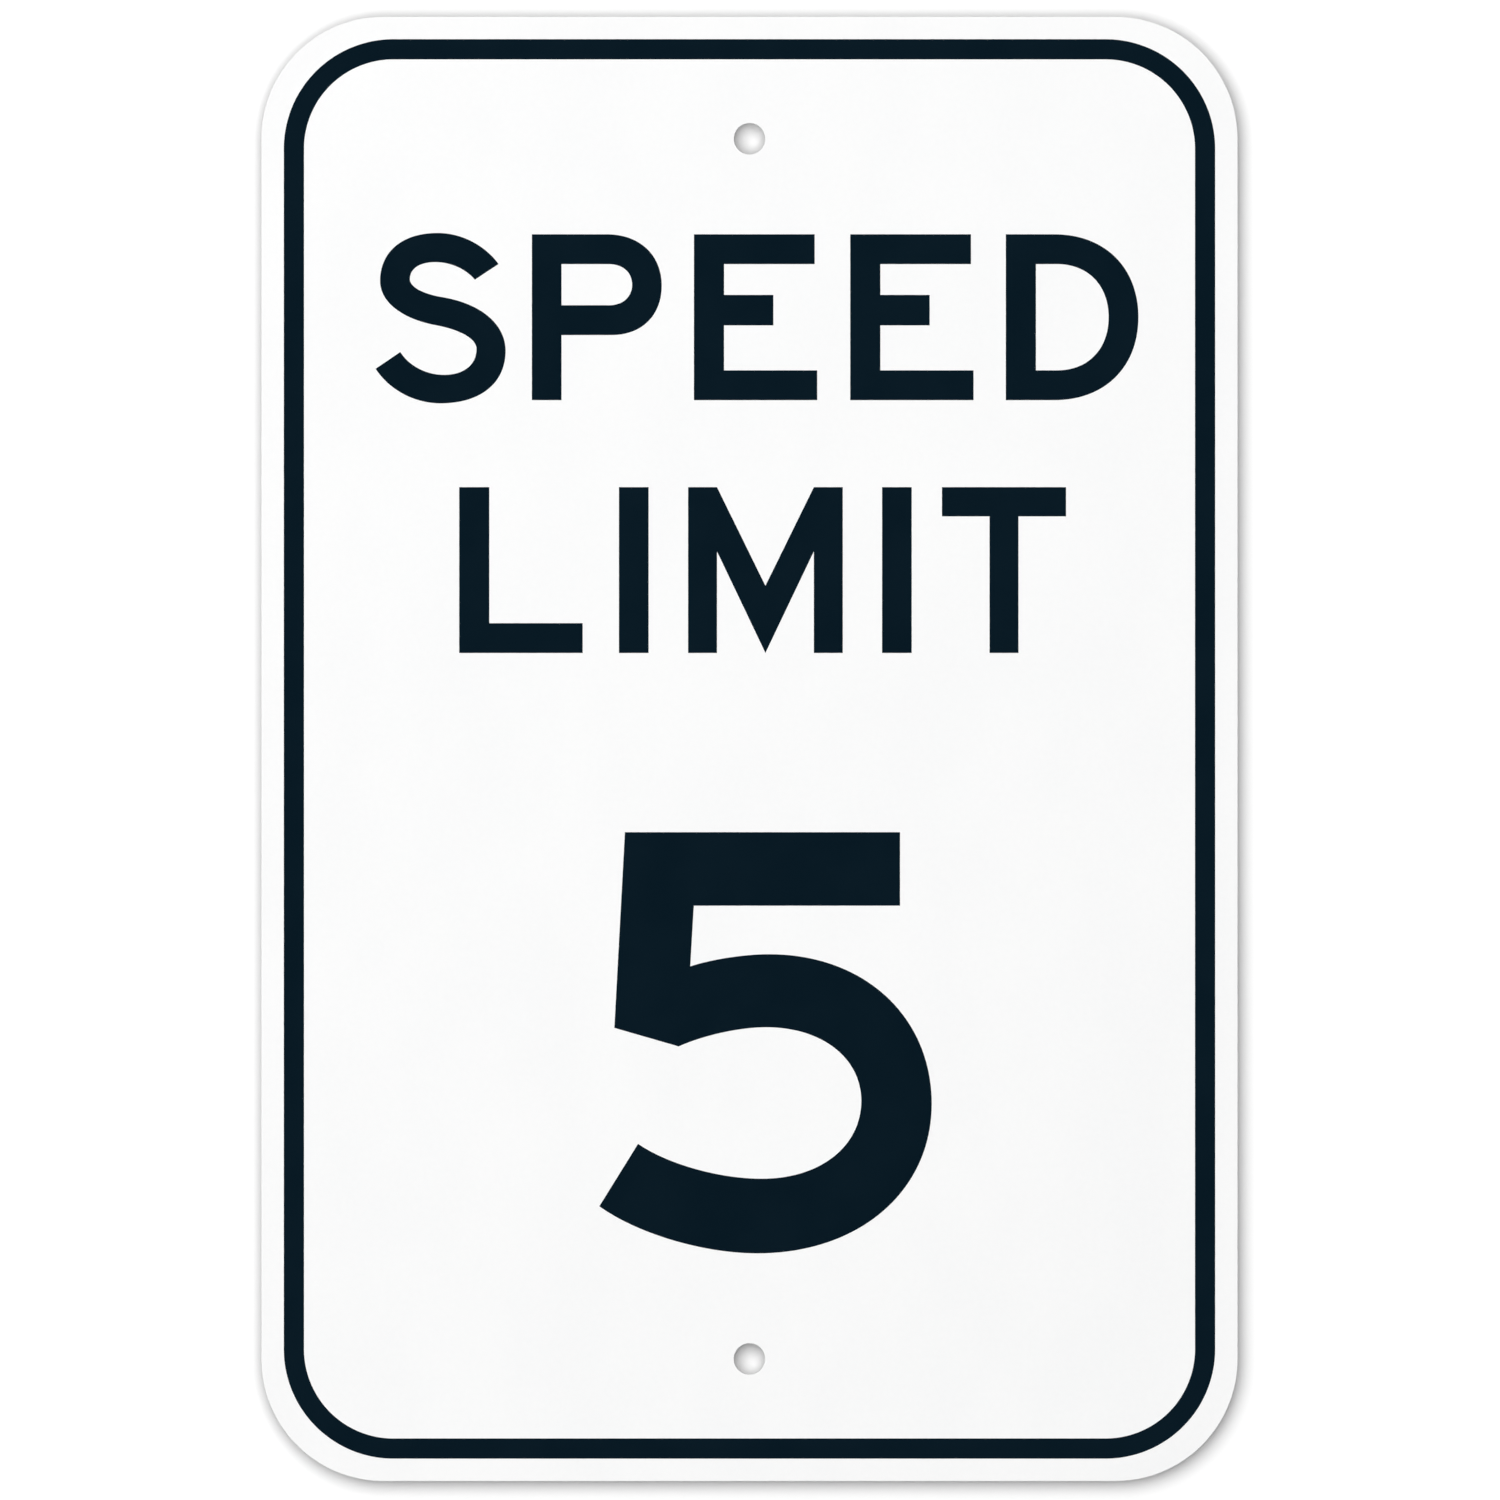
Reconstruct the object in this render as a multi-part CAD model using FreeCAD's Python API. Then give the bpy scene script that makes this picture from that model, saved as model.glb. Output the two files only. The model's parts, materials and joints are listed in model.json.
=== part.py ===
"""Speed limit sign of the 12 by 18 inch size: an aluminium blank, white face sheeting and a dark border band.

The sign stands upright, as it hangs on its post. +X is to the right of someone who reads it, +Z is up, and
the printed face looks towards -Y. The origin is the middle of the two bolt holes, on the back of the blank.
Lengths are in millimetres.
"""
import FreeCAD, Part
import math
import os

INCH = 25.4

# The blank: plate of 0.063 inch aluminium alloy, punched out with its round corners
PLATE_WIDTH = 12.0 * INCH
PLATE_HEIGHT = 18.0 * INCH
PLATE_CORNER_R = 1.5 * INCH
PLATE_THICKNESS = 1.6
# The punch rolls the back edge over a little, and the front edge stays sharp under the sheeting
EDGE_ROLL_R = 0.25

# The bolt holes: one near the top and one near the bottom, on the middle line, for 3/8 inch bolts
HOLE_D = 9.8
HOLE_FROM_EDGE = 1.5 * INCH
HOLE_ROLL_R = 0.2

# The face sheeting: reflective film with its adhesive, cut with the blank, so it ends at the same edges
SHEETING_THICKNESS = 0.3

# The border band: dark film, parallel to the plate's edges
BAND_INSET = 7.0
BAND_WIDTH = 6.3
BAND_CORNER_R = 34.2
BAND_THICKNESS = 0.08

# The planes of the layers, from the back of the blank to the front of the band
BACK_Y = 0.0
PLATE_FRONT_Y = BACK_Y - PLATE_THICKNESS
SHEETING_FRONT_Y = PLATE_FRONT_Y - SHEETING_THICKNESS
BAND_FRONT_Y = SHEETING_FRONT_Y - BAND_THICKNESS

# The bolt holes' heights above and below the origin
HOLE_RISE = PLATE_HEIGHT / 2 - HOLE_FROM_EDGE


def round_corner(centre_x, centre_z, radius, start_deg, y):
    """A quarter circle that turns anticlockwise, seen from the front, from the angle start_deg."""
    points = []
    for turn in (0.0, 45.0, 90.0):
        angle = math.radians(start_deg + turn)
        points.append(FreeCAD.Vector(centre_x + radius * math.cos(angle), y, centre_z + radius * math.sin(angle)))
    return Part.Arc(*points).toShape()


def rounded_rectangle(width, height, corner_r, y):
    """A closed wire round the origin at the depth y: four straight runs joined by four quarter circles."""
    x, z = width / 2, height / 2
    corners = [(x, z, 0.0), (-x, z, 90.0), (-x, -z, 180.0), (x, -z, 270.0)]
    arcs = []
    for corner_x, corner_z, start_deg in corners:
        centre_x = corner_x - math.copysign(corner_r, corner_x)
        centre_z = corner_z - math.copysign(corner_r, corner_z)
        arcs.append(round_corner(centre_x, centre_z, corner_r, start_deg, y))
    edges = []
    for arc, following in zip(arcs, arcs[1:] + arcs[:1]):
        edges.append(arc)
        edges.append(Part.LineSegment(arc.lastVertex().Point, following.firstVertex().Point).toShape())
    return Part.Wire(edges)


def hole_places():
    """The middles of the two bolt holes, top one first."""
    return [FreeCAD.Vector(0.0, 0.0, HOLE_RISE), FreeCAD.Vector(0.0, 0.0, -HOLE_RISE)]


def slab(outline, back_y, front_y):
    """The outline, drawn at the depth back_y, filled and carried forward to front_y."""
    return Part.Face(outline).extrude(FreeCAD.Vector(0.0, front_y - back_y, 0.0))


def drilled(shape, back_y, front_y):
    """The shape less a bolt hole at each of the two places, from back_y to front_y."""
    forward = FreeCAD.Vector(0.0, front_y - back_y, 0.0)
    for place in hole_places():
        start = place + FreeCAD.Vector(0.0, back_y, 0.0)
        shape = shape.cut(Part.makeCylinder(HOLE_D / 2, forward.Length, start, forward))
    return shape


def edges_in_plane(shape, y, is_hole):
    """The edges that lie in the plane at the depth y, either those of the bolt holes or those of the outline."""
    chosen = []
    for edge in shape.Edges:
        box = edge.BoundBox
        flat_there = abs(box.YMin - y) < 1e-6 and abs(box.YMax - y) < 1e-6
        round_hole = isinstance(edge.Curve, Part.Circle) and abs(edge.Curve.Radius - HOLE_D / 2) < 1e-6
        if flat_there and round_hole == is_hole:
            chosen.append(edge)
    return chosen


def make_blank():
    """The aluminium blank, with its back edges rolled over by the punch."""
    outline = rounded_rectangle(PLATE_WIDTH, PLATE_HEIGHT, PLATE_CORNER_R, BACK_Y)
    blank = drilled(slab(outline, BACK_Y, PLATE_FRONT_Y), BACK_Y, PLATE_FRONT_Y)
    blank = blank.makeFillet(EDGE_ROLL_R, edges_in_plane(blank, BACK_Y, False))
    return blank.makeFillet(HOLE_ROLL_R, edges_in_plane(blank, BACK_Y, True))


def make_face_sheeting():
    """The white film over the whole front of the blank, open at the bolt holes."""
    outline = rounded_rectangle(PLATE_WIDTH, PLATE_HEIGHT, PLATE_CORNER_R, PLATE_FRONT_Y)
    return drilled(slab(outline, PLATE_FRONT_Y, SHEETING_FRONT_Y), PLATE_FRONT_Y, SHEETING_FRONT_Y)


def make_border_band():
    """The dark band on the sheeting: one closed loop, its two edges round the same corner centres."""
    outer_width = PLATE_WIDTH - 2 * BAND_INSET
    outer_height = PLATE_HEIGHT - 2 * BAND_INSET
    outer = rounded_rectangle(outer_width, outer_height, BAND_CORNER_R, SHEETING_FRONT_Y)
    inner = rounded_rectangle(
        outer_width - 2 * BAND_WIDTH,
        outer_height - 2 * BAND_WIDTH,
        BAND_CORNER_R - BAND_WIDTH,
        SHEETING_FRONT_Y,
    )
    loop = slab(outer, SHEETING_FRONT_Y, BAND_FRONT_Y)
    return loop.cut(slab(inner, SHEETING_FRONT_Y, BAND_FRONT_Y))


def save(shape, node):
    """Writes one closed solid to its own file, after a look at its form."""
    if not shape.isValid() or len(shape.Solids) != 1:
        raise RuntimeError(node + " isn't one sound solid")
    shape.Solids[0].exportStep("parts/" + node + ".step")
    print(node, "volume", round(shape.Volume, 1), "mm3, faces", len(shape.Faces))


os.makedirs("parts", exist_ok=True)
save(make_blank(), "blank")
save(make_face_sheeting(), "face_sheeting")
save(make_border_band(), "border_band")
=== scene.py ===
"""Dresses the speed limit sign: its aluminium blank, white face sheeting, border band and legend.

The sign stands upright, its face looks towards -Y and its back towards +Y. Lengths are in metres in the
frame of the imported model. Only the characters' outlines, and what has a name that ends in _mm, are in
millimetres.
"""
import functools
import json
import logging
import math
from dataclasses import dataclass
from enum import Enum

import bpy
import numpy as np
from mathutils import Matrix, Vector
from mathutils.geometry import delaunay_2d_cdt


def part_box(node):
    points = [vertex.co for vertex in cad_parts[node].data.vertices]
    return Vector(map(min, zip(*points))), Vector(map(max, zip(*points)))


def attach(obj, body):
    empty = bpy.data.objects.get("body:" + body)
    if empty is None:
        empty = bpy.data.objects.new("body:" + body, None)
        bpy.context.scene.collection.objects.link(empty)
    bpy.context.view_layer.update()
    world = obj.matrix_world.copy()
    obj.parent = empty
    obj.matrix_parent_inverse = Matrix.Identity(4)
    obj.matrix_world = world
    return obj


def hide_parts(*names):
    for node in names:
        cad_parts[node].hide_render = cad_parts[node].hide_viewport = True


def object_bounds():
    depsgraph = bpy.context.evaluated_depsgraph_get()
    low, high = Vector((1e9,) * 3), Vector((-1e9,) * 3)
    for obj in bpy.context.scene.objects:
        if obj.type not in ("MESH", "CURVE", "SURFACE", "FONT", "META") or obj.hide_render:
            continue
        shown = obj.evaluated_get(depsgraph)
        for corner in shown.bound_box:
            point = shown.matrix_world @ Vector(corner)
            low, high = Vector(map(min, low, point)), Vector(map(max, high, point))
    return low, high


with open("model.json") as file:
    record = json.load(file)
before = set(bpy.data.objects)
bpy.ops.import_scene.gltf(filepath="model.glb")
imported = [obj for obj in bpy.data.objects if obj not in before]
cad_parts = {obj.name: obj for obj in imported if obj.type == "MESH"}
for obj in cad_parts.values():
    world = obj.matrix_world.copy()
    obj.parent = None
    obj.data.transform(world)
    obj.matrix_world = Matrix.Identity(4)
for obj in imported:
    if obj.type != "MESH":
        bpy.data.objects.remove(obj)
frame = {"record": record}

CAD_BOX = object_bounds()
BODY = "root"

MM = 0.001
PLATE_CORNER = 38.1 * MM

# What a noise texture gives on the average
NOISE_MEAN = 0.5

# Headings in the sign's plane as it is read, in degrees anticlockwise
EAST, NORTH, WEST, SOUTH = 0.0, 90.0, 180.0, 270.0

# How many points stand for a round between two knots
ROUND_STEPS = 40

# A wall's edge that turns by more than this is shaded sharp
SHARP_DEG = 32.0

# Points that lie nearer to each other than this count as one
NEAREST_MM = 1e-6

Pair = tuple[float, float]
Triple = tuple[float, float, float]

log = logging.getLogger("sign")


class Slot(Enum):
    """The record's material slots."""

    ALUMINIUM = "sheet_aluminium"
    SHEETING = "white_sheeting"
    FILM = "dark_film"


# Shader expressions


class Value:
    """One output socket of a node. Arithmetic on it adds Math nodes to the same shader."""

    def __init__(self, shader: "Shader", socket: bpy.types.NodeSocket) -> None:
        """Wraps an output socket of the shader."""
        self.shader = shader
        self.socket = socket

    def _math(self, operation: str, *terms: "Value | float") -> "Value":
        """Adds a Math node that works on the terms in their order."""
        return self.shader.value("ShaderNodeMath", {"operation": operation}, dict(enumerate(terms)))

    def __add__(self, other: "Value | float") -> "Value":
        """This plus other."""
        return self._math("ADD", self, other)

    def __radd__(self, other: float) -> "Value":
        """Other plus this."""
        return self._math("ADD", other, self)

    def __sub__(self, other: "Value | float") -> "Value":
        """This less other."""
        return self._math("SUBTRACT", self, other)

    def __rsub__(self, other: float) -> "Value":
        """Other less this."""
        return self._math("SUBTRACT", other, self)

    def __mul__(self, other: "Value | float") -> "Value":
        """This times other."""
        return self._math("MULTIPLY", self, other)

    def __rmul__(self, other: float) -> "Value":
        """Other times this."""
        return self._math("MULTIPLY", other, self)

    def __neg__(self) -> "Value":
        """This times minus one."""
        return self._math("MULTIPLY", self, -1.0)

    def __abs__(self) -> "Value":
        """This without its sign."""
        return self._math("ABSOLUTE", self)

    def higher_of(self, other: "Value | float") -> "Value":
        """The greater of this and other."""
        return self._math("MAXIMUM", self, other)

    def lower_of(self, other: "Value | float") -> "Value":
        """The lesser of this and other."""
        return self._math("MINIMUM", self, other)

    def root(self) -> "Value":
        """The square root of this."""
        return self._math("SQRT", self)

    def step(self, low: float, high: float, start: float = 0.0, end: float = 1.0) -> "Value":
        """Turns this, with a smooth step from low to high, into a value from start to end.

        Args:
            low: where the step starts.
            high: where it ends, above low.
            start: the result at and below low.
            end: the result at and above high.

        Returns:
            The stepped value.
        """
        settings = {"interpolation_type": "SMOOTHSTEP"}
        sockets = {"Value": self, "From Min": low, "From Max": high, "To Min": start, "To Max": end}
        return self.shader.value("ShaderNodeMapRange", settings, sockets)


Settings = dict[str, object]
Sockets = dict[str | int, Value | float | Triple]

# Where a Mix node has its share, its two colours and, among its outputs, the mixed colour
MIX_SHARE, MIX_FIRST, MIX_SECOND = 0, 6, 7
MIX_RESULT = 2


def mixed(patterns: tuple[Value, ...], shares: tuple[float, ...]) -> Value:
    """The sum of the patterns, each times its own share."""
    return functools.reduce(Value.__add__, [pattern * share for pattern, share in zip(patterns, shares)])


class Shader:
    """The node tree of one material or of the world."""

    def __init__(self, owner: bpy.types.Material | bpy.types.World) -> None:
        """Empties the owner's node tree.

        Args:
            owner: the material or the world.
        """
        owner.use_nodes = True
        self.tree = owner.node_tree
        self.tree.nodes.clear()
        is_world = isinstance(owner, bpy.types.World)
        self.output_kind = "ShaderNodeOutputWorld" if is_world else "ShaderNodeOutputMaterial"

    def add(
        self, kind: str, settings: Settings | None = None, sockets: Sockets | None = None
    ) -> bpy.types.Node:
        """Adds a node.

        Args:
            kind: the node's type.
            settings: the node's own properties, which are set before its sockets.
            sockets: for each input, by name or number, a value that is linked or a constant that is set.

        Returns:
            The node.
        """
        node = self.tree.nodes.new(kind)
        for name, setting in (settings or {}).items():
            setattr(node, name, setting)
        for name, given in (sockets or {}).items():
            socket = node.inputs[name]
            if isinstance(given, Value):
                self.tree.links.new(given.socket, socket)
            elif socket.type == "RGBA":
                socket.default_value = (*given, 1.0)
            else:
                socket.default_value = given
        return node

    def value(
        self,
        kind: str,
        settings: Settings | None = None,
        sockets: Sockets | None = None,
        output: str | int = 0,
    ) -> Value:
        """Adds a node as add does, and gives its output of that name or number."""
        return Value(self, self.add(kind, settings, sockets).outputs[output])

    def place(self, cell: Triple) -> Value:
        """The place on the piece, counted in cells of the given size along X, Y and Z."""
        spot = self.value("ShaderNodeTexCoord", output="Object")
        return self.value("ShaderNodeVectorMath", {"operation": "DIVIDE"}, {0: spot, 1: cell})

    def noise(self, cell: Triple, detail: float = 2.0) -> Value:
        """Cloudy noise from 0 to 1, in patches as large as the cell, with detail finer layers."""
        sockets = {"Vector": self.place(cell), "Scale": 1.0, "Detail": detail}
        return self.value("ShaderNodeTexNoise", sockets=sockets)

    def blend(self, share: Value, first: Value | Triple, second: Value | Triple) -> Value:
        """The first colour where share is 0, and the second where it is 1."""
        sockets = {MIX_SHARE: share, MIX_FIRST: first, MIX_SECOND: second}
        return self.value("ShaderNodeMix", {"data_type": "RGBA"}, sockets, MIX_RESULT)

    def relief(self, height: Value, depth: float, under: Value | None = None) -> Value:
        """Turns a height from 0 to 1 into a bent normal.

        Args:
            height: the height over the surface.
            depth: how deep the relief is from 0 to 1.
            under: another relief that this one lies on.

        Returns:
            The normal.
        """
        sockets = {"Height": height, "Strength": 1.0, "Distance": depth}
        if under is not None:
            sockets["Normal"] = under
        return self.value("ShaderNodeBump", sockets=sockets)

    def axes(self, vector: Value) -> tuple[Value, Value, Value]:
        """The three numbers of a vector."""
        outputs = self.add("ShaderNodeSeparateXYZ", sockets={0: vector}).outputs
        return Value(self, outputs["X"]), Value(self, outputs["Y"]), Value(self, outputs["Z"])

    def finish(self, surface: Value) -> None:
        """Makes a closure the surface of the material or of the world."""
        self.add(self.output_kind, sockets={"Surface": surface})

    def finish_solid(self, sockets: Sockets) -> None:
        """Makes a Principled BSDF with these sockets the surface of the material."""
        self.finish(self.value("ShaderNodeBsdfPrincipled", sockets=sockets))


def new_material(name: str) -> tuple[bpy.types.Material, Shader]:
    """A new material and its empty shader."""
    material = bpy.data.materials.new(name)
    return material, Shader(material)


# Finishes. A cell is the size of a pattern's patches along X, Y and Z


@dataclass(frozen=True)
class Scratches:
    """Short scratches, one in a share of the cells of a random pattern, each with its own heading.

    Where u is how far a point lies along its cell's scratch and v how far across it, both counted in cells,
    the scratch is where v plus the bend times u squared is near 0, and u is within its half length. It is
    full up to full_at of that, and fades out from there. The choice step parts the cells that have a scratch
    from the others, and is small enough that next to none lies on it.
    """

    cell: float
    half_length: float
    half_width: float
    share: float
    bend: float = 0.35
    full_at: float = 0.4
    choice_step: float = 0.001

    def value(self, shader: Shader) -> Value:
        """Draws the scratches.

        Args:
            shader: the shader that they belong to.

        Returns:
            1 in the middle of each scratch and 0 beside it.
        """
        spot = shader.place((self.cell,) * 3)
        cells = shader.add("ShaderNodeTexVoronoi", sockets={"Vector": spot, "Scale": 1.0})
        middle = Value(shader, cells.outputs["Position"])
        draws = shader.add("ShaderNodeSeparateColor", sockets={0: Value(shader, cells.outputs["Color"])})
        heading = Value(shader, draws.outputs["Red"]) * math.tau
        from_middle = shader.value("ShaderNodeVectorMath", {"operation": "SUBTRACT"}, {0: spot, 1: middle})
        sockets = {"Vector": from_middle, "Angle": heading}
        u, _, v = shader.axes(shader.value("ShaderNodeVectorRotate", {"rotation_type": "Y_AXIS"}, sockets))
        across = abs(v + u * u * self.bend).step(0.0, self.half_width / self.cell, 1.0, 0.0)
        reach = self.half_length / self.cell
        along = abs(u).step(self.full_at * reach, reach, 1.0, 0.0)
        limit = 1.0 - self.share
        present = Value(shader, draws.outputs["Green"]).step(limit - self.choice_step, limit)
        return across * along * present


@dataclass(frozen=True)
class MillAluminium:
    """Sheet aluminium as it is rolled: satin, with fine lines up it, faint clouds and a few hairlines."""

    bright: Triple = (0.69, 0.70, 0.71)
    dull: Triple = (0.50, 0.51, 0.525)
    scratched: Triple = (0.90, 0.91, 0.92)
    line_cell: Triple = (0.35 * MM, 1.0, 28.0 * MM)
    streak_cell: Triple = (2.6 * MM, 1.0, 160.0 * MM)
    cloud_cell: Triple = (60.0 * MM, 60.0 * MM, 85.0 * MM)
    line_depth: float = 0.006 * MM
    tone_shares: Triple = (0.38, 0.27, 0.35)
    tone_range: Pair = (0.28, 0.72)
    gloss_shares: Pair = (0.55, 0.45)
    gloss_range: Pair = (0.25, 0.75)
    roughness: float = 0.30
    roughness_shares: Pair = (0.16, 0.12)
    scratches: tuple[Scratches, ...] = (
        Scratches(cell=64.0 * MM, half_length=30.0 * MM, half_width=0.11 * MM, share=0.55),
        Scratches(cell=23.0 * MM, half_length=7.0 * MM, half_width=0.08 * MM, share=0.40),
    )

    def material(self) -> bpy.types.Material:
        """Builds the finish.

        Returns:
            The material.
        """
        material, shader = new_material("mill_aluminium")
        lines = shader.noise(self.line_cell, detail=3.0)
        streaks = shader.noise(self.streak_cell)
        clouds = shader.noise(self.cloud_cell, detail=4.0)
        scratch = functools.reduce(Value.higher_of, [layer.value(shader) for layer in self.scratches])
        tone = mixed((lines, streaks, clouds), self.tone_shares).step(*self.tone_range)
        gloss = mixed((clouds, lines), self.gloss_shares).step(*self.gloss_range)
        shader.finish_solid({
            "Base Color": shader.blend(scratch, shader.blend(tone, self.dull, self.bright), self.scratched),
            "Metallic": 1.0,
            "Roughness": mixed((gloss, scratch), self.roughness_shares) + self.roughness,
            "Normal": shader.relief(lines - scratch, self.line_depth),
        })
        return material


@dataclass(frozen=True)
class PunchedEdge:
    """The cut edge of punched aluminium: a burnished land near the back, a torn grey zone near the face."""

    land: Triple = (0.68, 0.69, 0.70)
    torn: Triple = (0.40, 0.41, 0.43)
    land_depth: float = 0.62 * MM
    border_cell: Triple = (1.6 * MM,) * 3
    border_waver: float = 0.30 * MM
    border_soft: float = 0.06 * MM
    grain_cell: Triple = (0.09 * MM, 0.16 * MM, 0.09 * MM)
    grain_depth: float = 0.05 * MM
    drag_cell: Triple = (0.12 * MM, 6.0 * MM, 0.12 * MM)
    drag_depth: float = 0.008 * MM
    tone_shares: Triple = (0.8, 0.3, 0.15)
    roughness: float = 0.24
    roughness_shares: Pair = (0.28, 0.12)

    def material(self) -> bpy.types.Material:
        """Builds the finish. The land's border is at its depth from the back, and wavers with the noise.

        Returns:
            The material.
        """
        material, shader = new_material("punched_edge")
        depth = -shader.axes(shader.value("ShaderNodeTexCoord", output="Object"))[1]
        waver = shader.noise(self.border_cell, detail=3.0) - NOISE_MEAN
        border = depth + waver * self.border_waver - self.land_depth
        torn = border.step(-self.border_soft, self.border_soft)
        grain = shader.noise(self.grain_cell, detail=3.0)
        drag = shader.noise(self.drag_cell, detail=1.0)
        tone = mixed((torn, grain * torn, drag), self.tone_shares)
        rough = shader.relief(torn * grain, self.grain_depth)
        shader.finish_solid({
            "Base Color": shader.blend(tone, self.land, self.torn),
            "Metallic": 1.0,
            "Roughness": mixed((torn, drag), self.roughness_shares) + self.roughness,
            "Normal": shader.relief(drag, self.drag_depth, rough),
        })
        return material


@dataclass(frozen=True)
class WhiteSheeting:
    """White reflective film: a clear smooth top over fine glass beads, with a faint orange peel."""

    white: Triple = (0.965, 0.965, 0.962)
    shade: Triple = (0.925, 0.928, 0.930)
    bead_cell: Triple = (0.14 * MM,) * 3
    bead_range: Pair = (0.15, 0.75)
    bead_depth: float = 0.010 * MM
    peel_cell: Triple = (1.7 * MM,) * 3
    peel_depth: float = 0.012 * MM
    cloud_cell: Triple = (34.0 * MM, 34.0 * MM, 52.0 * MM)
    soft_range: Pair = (0.3, 0.7)
    tone_shares: Triple = (0.45, 0.35, 0.2)
    roughness: float = 0.38
    roughness_shares: Pair = (0.10, 0.08)
    specular: float = 0.35
    coat: float = 0.2
    coat_roughness: float = 0.16

    def material(self) -> bpy.types.Material:
        """Builds the finish.

        Returns:
            The material.
        """
        material, shader = new_material("white_sheeting")
        sockets = {"Vector": shader.place(self.bead_cell), "Scale": 1.0}
        beads = shader.value("ShaderNodeTexVoronoi", sockets=sockets)
        peel = shader.noise(self.peel_cell)
        clouds = shader.noise(self.cloud_cell, detail=3.0)
        steps = (beads.step(*self.bead_range), clouds.step(*self.soft_range), peel.step(*self.soft_range))
        shader.finish_solid({
            "Base Color": shader.blend(mixed(steps, self.tone_shares), self.white, self.shade),
            "Roughness": mixed((beads, clouds), self.roughness_shares) + self.roughness,
            "Specular IOR Level": self.specular,
            "Normal": shader.relief(beads, self.bead_depth, shader.relief(peel, self.peel_depth)),
            "Coat Weight": self.coat,
            "Coat Roughness": self.coat_roughness,
        })
        return material


@dataclass(frozen=True)
class DarkFilm:
    """The blue-black film of the band and the legend: even colour, a satin skin and a faint orange peel."""

    deep: Triple = (0.0002, 0.0068, 0.0136)
    lifted: Triple = (0.0008, 0.0086, 0.0162)
    peel_cell: Triple = (1.1 * MM,) * 3
    peel_depth: float = 0.014 * MM
    fleck_cell: Triple = (0.18 * MM,) * 3
    fleck_depth: float = 0.003 * MM
    cloud_cell: Triple = (22.0 * MM,) * 3
    soft_range: Pair = (0.3, 0.7)
    tone_shares: Pair = (0.5, 0.5)
    roughness: float = 0.24
    roughness_shares: Pair = (0.08, 0.06)
    specular: float = 0.12

    def material(self) -> bpy.types.Material:
        """Builds the finish.

        Returns:
            The material.
        """
        material, shader = new_material("dark_film")
        peel = shader.noise(self.peel_cell)
        flecks = shader.noise(self.fleck_cell)
        clouds = shader.noise(self.cloud_cell, detail=3.0)
        tone = mixed((flecks.step(*self.soft_range), clouds.step(*self.soft_range)), self.tone_shares)
        shader.finish_solid({
            "Base Color": shader.blend(tone, self.deep, self.lifted),
            "Roughness": mixed((clouds, flecks), self.roughness_shares) + self.roughness,
            "Specular IOR Level": self.specular,
            "Normal": shader.relief(flecks, self.fleck_depth, shader.relief(peel, self.peel_depth)),
        })
        return material


# Outlines in the sign's plane as it is read: X to the right and Z up


@dataclass(frozen=True)
class Knot:
    """A point of an outline. A round leaves it where leave is given, and reaches it where arrive is given.

    Both are headings in degrees, anticlockwise from east. Where two knots have no round between them, the
    outline runs straight from one to the other.
    """

    x: float
    z: float
    arrive: float | None = None
    leave: float | None = None


def corner(x: float, z: float) -> Knot:
    """A sharp corner between straight runs."""
    return Knot(x, z)


def smooth(x: float, z: float, heading: float) -> Knot:
    """A point that the outline passes in one heading, between two rounds."""
    return Knot(x, z, heading, heading)


def into_round(x: float, z: float, heading: float) -> Knot:
    """The end of a straight run, where a round starts."""
    return Knot(x, z, leave=heading)


def out_of_round(x: float, z: float, heading: float) -> Knot:
    """The end of a round, where a straight run starts."""
    return Knot(x, z, arrive=heading)


def direction(heading: float) -> np.ndarray:
    """The unit vector of a heading in degrees."""
    return np.array([math.cos(math.radians(heading)), math.sin(math.radians(heading))])


def round_run(start: Knot, end: Knot, fullness: float) -> np.ndarray:
    """A round between two knots, without its last point.

    It is a cubic: (1-t)^3 times the start, 3(1-t)^2 t times the first handle, 3(1-t)t^2 times the second
    handle and t^3 times the end. Each handle lies on the tangent at its knot, a share of the way to where
    the two tangents meet.

    Args:
        start: the knot that it leaves.
        end: the knot that it reaches.
        fullness: that share: 0.552 is a circle, and more is squarer.

    Returns:
        Its points, one in each row.
    """
    first, last = np.array([start.x, start.z]), np.array([end.x, end.z])
    ahead, back = direction(start.leave), direction(end.arrive)
    reach = np.linalg.solve(np.stack([ahead, back], axis=1), last - first)
    handle_1 = first + ahead * reach[0] * fullness
    handle_2 = last - back * reach[1] * fullness
    t = np.linspace(0.0, 1.0, ROUND_STEPS + 1)[:-1, None]
    start_side = (1 - t) ** 3 * first + 3 * (1 - t) ** 2 * t * handle_1
    return start_side + 3 * (1 - t) * t**2 * handle_2 + t**3 * last


def loop_points(knots: list[Knot], fullness: float = 0.6) -> np.ndarray:
    """The points of a closed outline through its knots.

    Args:
        knots: the knots in order, anticlockwise round film and clockwise round an opening in it.
        fullness: as for round_run.

    Returns:
        The points, one in each row.
    """
    runs = []
    for start, end in zip(knots, knots[1:] + knots[:1]):
        is_round = start.leave is not None and end.arrive is not None
        runs.append(round_run(start, end, fullness) if is_round else np.array([[start.x, start.z]]))
    return np.vstack(runs)


def rounded_rectangle(width: float, height: float, radius: float, steps: int = 72) -> np.ndarray:
    """A rectangle round the origin with quarter circles for corners, anticlockwise.

    A corner's point is its centre plus the radius times (cos a, sin a), while a goes through a quarter turn.

    Args:
        width: the size along X.
        height: the size along Z.
        radius: the corners' radius.
        steps: how many parts a corner is divided into.

    Returns:
        The points, one in each row.
    """
    turn = np.linspace(0.0, math.pi / 2, steps + 1)
    angles = turn[None, :] + np.arange(4)[:, None] * math.pi / 2
    signs = np.array([[1, 1], [-1, 1], [-1, -1], [1, -1]])
    centres = signs * np.array([width / 2 - radius, height / 2 - radius])
    arcs = centres[:, None, :] + radius * np.stack([np.cos(angles), np.sin(angles)], axis=-1)
    return arcs.reshape(-1, 2)


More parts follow.
